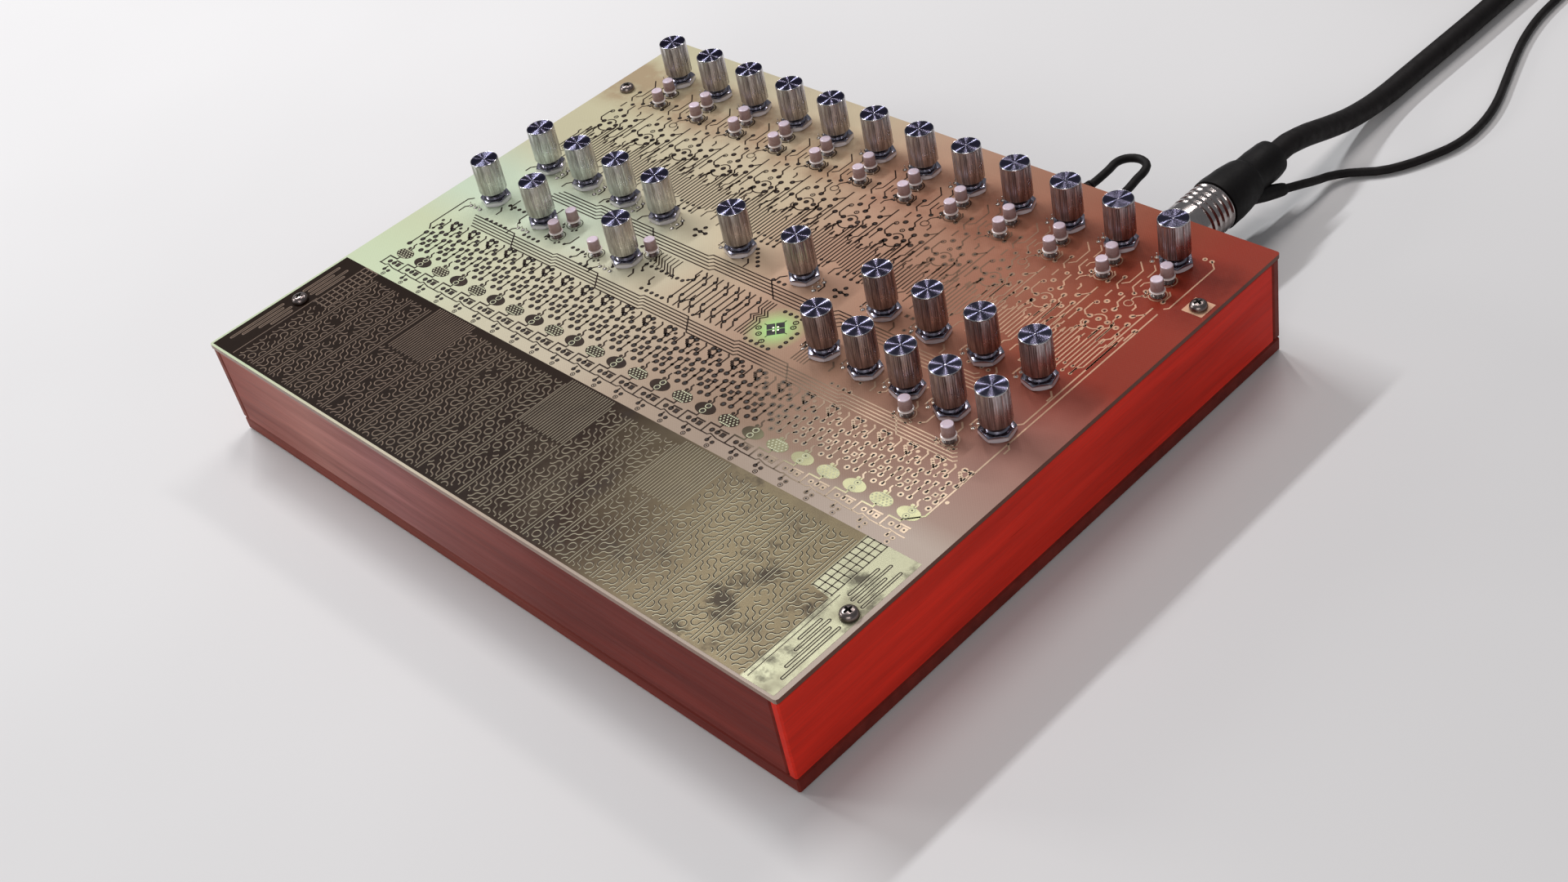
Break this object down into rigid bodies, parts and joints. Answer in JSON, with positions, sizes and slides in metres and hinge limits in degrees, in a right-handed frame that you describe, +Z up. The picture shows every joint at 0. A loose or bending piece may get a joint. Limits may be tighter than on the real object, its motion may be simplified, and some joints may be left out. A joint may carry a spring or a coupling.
{
  "type": "polyphonic synthesizer",
  "caption": "Table-top synthesizer: shallow wooden box with a bare circuit-board lid of touch keys, metal knobs and push buttons, with cords at its back.",
  "frame": {"origin": "centre of the base board's underside, which rests on the table", "axes": "+X to the player's right along the long side, +Y to the back, +Z up"},
  "size_m": [0.301, 0.5403, 0.054],
  "materials": {
    "base": "dark red-brown, satin",
    "board": "oiled, reddish brown, fine grain",
    "button": "translucent pinkish white caps",
    "cable": "black, matte",
    "circuit_parts": "black",
    "cleat": "bare",
    "knob": "turned top, fine knurl on the side",
    "laminate": "pale green glass-fibre laminate with bare golden copper tracks",
    "plug": "polished nickel, turned grooves",
    "potentiometers": "plated cans, bushings and nuts",
    "rubber": "black, satin",
    "screw": "plated, pan head",
    "socket": "plated"
  },
  "bodies": {
    "case": {"back_board": "board", "base_board": "base", "circuit_parts": "circuit_parts", "front_board": "board", "left_board": "board", "left_cleat": "cleat", "link_lead": "rubber", "link_sockets": "socket", "main_cable": "cable", "main_cable_coil": "cable", "main_end_plug": "plug", "main_plug": "plug", "main_socket": "socket", "panel_board": "laminate", "panel_screw_back_left": "screw", "panel_screw_back_right": "screw", "panel_screw_front_left": "screw", "panel_screw_front_right": "screw", "plug_sleeve": "rubber", "potentiometers": "potentiometers", "right_board": "board", "right_cleat": "cleat", "thin_cable": "cable", "thin_cable_coil": "cable"},
    "front_knob_01": {"front_knob_01": "knob"},
    "front_knob_02": {"front_knob_02": "knob"},
    "front_knob_03": {"front_knob_03": "knob"},
    "front_knob_04": {"front_knob_04": "knob"},
    "front_knob_05": {"front_knob_05": "knob"},
    "front_knob_06": {"front_knob_06": "knob"},
    "front_knob_07": {"front_knob_07": "knob"},
    "front_knob_08": {"front_knob_08": "knob"},
    "front_voice_buttons": {"front_voice_buttons": "button"},
    "left_button_pair": {"left_button_pair": "button"},
    "left_fourth_button": {"left_fourth_button": "button"},
    "left_third_button": {"left_third_button": "button"},
    "middle_knob_01": {"middle_knob_01": "knob"},
    "middle_knob_02": {"middle_knob_02": "knob"},
    "middle_knob_03": {"middle_knob_03": "knob"},
    "middle_knob_04": {"middle_knob_04": "knob"},
    "middle_knob_05": {"middle_knob_05": "knob"},
    "middle_knob_06": {"middle_knob_06": "knob"},
    "middle_knob_07": {"middle_knob_07": "knob"},
    "middle_knob_08": {"middle_knob_08": "knob"},
    "middle_knob_09": {"middle_knob_09": "knob"},
    "middle_knob_10": {"middle_knob_10": "knob"},
    "rear_voice_buttons": {"rear_voice_buttons": "button"},
    "right_button_pair": {"right_button_pair": "button"},
    "voice_knob_01": {"voice_knob_01": "knob"},
    "voice_knob_02": {"voice_knob_02": "knob"},
    "voice_knob_03": {"voice_knob_03": "knob"},
    "voice_knob_04": {"voice_knob_04": "knob"},
    "voice_knob_05": {"voice_knob_05": "knob"},
    "voice_knob_06": {"voice_knob_06": "knob"},
    "voice_knob_07": {"voice_knob_07": "knob"},
    "voice_knob_08": {"voice_knob_08": "knob"},
    "voice_knob_09": {"voice_knob_09": "knob"},
    "voice_knob_10": {"voice_knob_10": "knob"},
    "voice_knob_11": {"voice_knob_11": "knob"},
    "voice_knob_12": {"voice_knob_12": "knob"}
  },
  "joints": [
    {"name": "front_knob_01_turn", "type": "hinge", "parent": "case", "child": "front_knob_01", "pos_m": [-0.11359, -0.0005, 0.037], "axis": [0, 0, 1], "range_deg": [-150, 150]},
    {"name": "front_knob_02_turn", "type": "hinge", "parent": "case", "child": "front_knob_02", "pos_m": [-0.08677, -0.0005, 0.037], "axis": [0, 0, 1], "range_deg": [-150, 150]},
    {"name": "front_knob_03_turn", "type": "hinge", "parent": "case", "child": "front_knob_03", "pos_m": [-0.04318, -0.0005, 0.037], "axis": [0, 0, 1], "range_deg": [-150, 150]},
    {"name": "front_knob_04_turn", "type": "hinge", "parent": "case", "child": "front_knob_04", "pos_m": [0.04826, -0.0005, 0.037], "axis": [0, 0, 1], "range_deg": [-150, 150]},
    {"name": "front_knob_05_turn", "type": "hinge", "parent": "case", "child": "front_knob_05", "pos_m": [0.06523, -0.0005, 0.037], "axis": [0, 0, 1], "range_deg": [-150, 150]},
    {"name": "front_knob_06_turn", "type": "hinge", "parent": "case", "child": "front_knob_06", "pos_m": [0.08209, -0.0005, 0.037], "axis": [0, 0, 1], "range_deg": [-150, 150]},
    {"name": "front_knob_07_turn", "type": "hinge", "parent": "case", "child": "front_knob_07", "pos_m": [0.09906, -0.0005, 0.037], "axis": [0, 0, 1], "range_deg": [-150, 150]},
    {"name": "front_knob_08_turn", "type": "hinge", "parent": "case", "child": "front_knob_08", "pos_m": [0.11603, -0.0005, 0.037], "axis": [0, 0, 1], "range_deg": [-150, 150]},
    {"name": "front_voice_buttons_press", "type": "slide", "parent": "case", "child": "front_voice_buttons", "axis": [0, 0, -1], "range_m": [0, 0.0015], "stiffness_N_per_m": 200},
    {"name": "left_button_pair_press", "type": "slide", "parent": "case", "child": "left_button_pair", "axis": [0, 0, -1], "range_m": [0, 0.0015], "stiffness_N_per_m": 200},
    {"name": "left_fourth_button_press", "type": "slide", "parent": "case", "child": "left_fourth_button", "axis": [0, 0, -1], "range_m": [0, 0.0015], "stiffness_N_per_m": 200},
    {"name": "left_third_button_press", "type": "slide", "parent": "case", "child": "left_third_button", "axis": [0, 0, -1], "range_m": [0, 0.0015], "stiffness_N_per_m": 200},
    {"name": "middle_knob_01_turn", "type": "hinge", "parent": "case", "child": "middle_knob_01", "pos_m": [-0.11145, 0.0237, 0.037], "axis": [0, 0, 1], "range_deg": [-150, 150]},
    {"name": "middle_knob_02_turn", "type": "hinge", "parent": "case", "child": "middle_knob_02", "pos_m": [-0.09103, 0.0237, 0.037], "axis": [0, 0, 1], "range_deg": [-150, 150]},
    {"name": "middle_knob_03_turn", "type": "hinge", "parent": "case", "child": "middle_knob_03", "pos_m": [-0.07071, 0.0237, 0.037], "axis": [0, 0, 1], "range_deg": [-150, 150]},
    {"name": "middle_knob_04_turn", "type": "hinge", "parent": "case", "child": "middle_knob_04", "pos_m": [-0.05049, 0.0237, 0.037], "axis": [0, 0, 1], "range_deg": [-150, 150]},
    {"name": "middle_knob_05_turn", "type": "hinge", "parent": "case", "child": "middle_knob_05", "pos_m": [-0.01321, 0.0237, 0.037], "axis": [0, 0, 1], "range_deg": [-150, 150]},
    {"name": "middle_knob_06_turn", "type": "hinge", "parent": "case", "child": "middle_knob_06", "pos_m": [0.01626, 0.0237, 0.037], "axis": [0, 0, 1], "range_deg": [-150, 150]},
    {"name": "middle_knob_07_turn", "type": "hinge", "parent": "case", "child": "middle_knob_07", "pos_m": [0.0508, 0.0237, 0.037], "axis": [0, 0, 1], "range_deg": [-150, 150]},
    {"name": "middle_knob_08_turn", "type": "hinge", "parent": "case", "child": "middle_knob_08", "pos_m": [0.07112, 0.0237, 0.037], "axis": [0, 0, 1], "range_deg": [-150, 150]},
    {"name": "middle_knob_09_turn", "type": "hinge", "parent": "case", "child": "middle_knob_09", "pos_m": [0.09144, 0.0237, 0.037], "axis": [0, 0, 1], "range_deg": [-150, 150]},
    {"name": "middle_knob_10_turn", "type": "hinge", "parent": "case", "child": "middle_knob_10", "pos_m": [0.11176, 0.0237, 0.037], "axis": [0, 0, 1], "range_deg": [-150, 150]},
    {"name": "rear_voice_buttons_press", "type": "slide", "parent": "case", "child": "rear_voice_buttons", "axis": [0, 0, -1], "range_m": [0, 0.0015], "stiffness_N_per_m": 200},
    {"name": "right_button_pair_press", "type": "slide", "parent": "case", "child": "right_button_pair", "axis": [0, 0, -1], "range_m": [0, 0.0015], "stiffness_N_per_m": 200},
    {"name": "voice_knob_01_turn", "type": "hinge", "parent": "case", "child": "voice_knob_01", "pos_m": [-0.11176, 0.0889, 0.037], "axis": [0, 0, 1], "range_deg": [-150, 150]},
    {"name": "voice_knob_02_turn", "type": "hinge", "parent": "case", "child": "voice_knob_02", "pos_m": [-0.09144, 0.0889, 0.037], "axis": [0, 0, 1], "range_deg": [-150, 150]},
    {"name": "voice_knob_03_turn", "type": "hinge", "parent": "case", "child": "voice_knob_03", "pos_m": [-0.07112, 0.0889, 0.037], "axis": [0, 0, 1], "range_deg": [-150, 150]},
    {"name": "voice_knob_04_turn", "type": "hinge", "parent": "case", "child": "voice_knob_04", "pos_m": [-0.0508, 0.0889, 0.037], "axis": [0, 0, 1], "range_deg": [-150, 150]},
    {"name": "voice_knob_05_turn", "type": "hinge", "parent": "case", "child": "voice_knob_05", "pos_m": [-0.03048, 0.0889, 0.037], "axis": [0, 0, 1], "range_deg": [-150, 150]},
    {"name": "voice_knob_06_turn", "type": "hinge", "parent": "case", "child": "voice_knob_06", "pos_m": [-0.01016, 0.0889, 0.037], "axis": [0, 0, 1], "range_deg": [-150, 150]},
    {"name": "voice_knob_07_turn", "type": "hinge", "parent": "case", "child": "voice_knob_07", "pos_m": [0.01016, 0.0889, 0.037], "axis": [0, 0, 1], "range_deg": [-150, 150]},
    {"name": "voice_knob_08_turn", "type": "hinge", "parent": "case", "child": "voice_knob_08", "pos_m": [0.03048, 0.0889, 0.037], "axis": [0, 0, 1], "range_deg": [-150, 150]},
    {"name": "voice_knob_09_turn", "type": "hinge", "parent": "case", "child": "voice_knob_09", "pos_m": [0.0508, 0.0889, 0.037], "axis": [0, 0, 1], "range_deg": [-150, 150]},
    {"name": "voice_knob_10_turn", "type": "hinge", "parent": "case", "child": "voice_knob_10", "pos_m": [0.07112, 0.0889, 0.037], "axis": [0, 0, 1], "range_deg": [-150, 150]},
    {"name": "voice_knob_11_turn", "type": "hinge", "parent": "case", "child": "voice_knob_11", "pos_m": [0.09144, 0.0889, 0.037], "axis": [0, 0, 1], "range_deg": [-150, 150]},
    {"name": "voice_knob_12_turn", "type": "hinge", "parent": "case", "child": "voice_knob_12", "pos_m": [0.11176, 0.0889, 0.037], "axis": [0, 0, 1], "range_deg": [-150, 150]}
  ]
}
